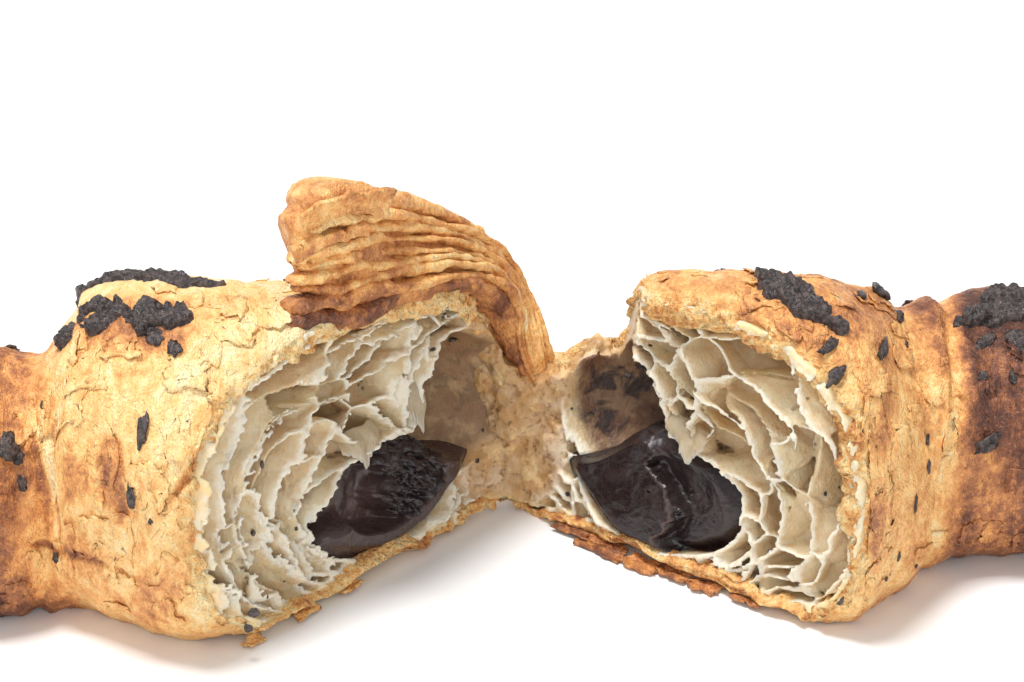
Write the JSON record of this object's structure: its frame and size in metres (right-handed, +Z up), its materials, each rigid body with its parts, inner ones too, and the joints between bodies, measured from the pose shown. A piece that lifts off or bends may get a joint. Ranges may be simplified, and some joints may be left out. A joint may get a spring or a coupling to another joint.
{
  "type": "chocolate croissant",
  "caption": "Baked croissant torn open in a V, held together by its back crust, with a dark chocolate filling in both torn faces and chocolate patches baked on top.",
  "frame": {"origin": "centre of the bounding box's bottom, where the underside rests", "axes": "+Z up, +X along the roll, -Y the side towards which the torn faces open"},
  "size_m": [0.195, 0.0625, 0.0581],
  "materials": {
    "dough": "satin",
    "filling": "glossy",
    "baked_chocolate": "matte"
  },
  "bodies": {
    "root": {"dough": "dough", "filling_left": "filling", "filling_right": "filling", "patch_left_high": "baked_chocolate", "patch_left_low": "baked_chocolate", "patch_right_rim": "baked_chocolate", "patch_right_end": "baked_chocolate"}
  },
  "joints": []
}
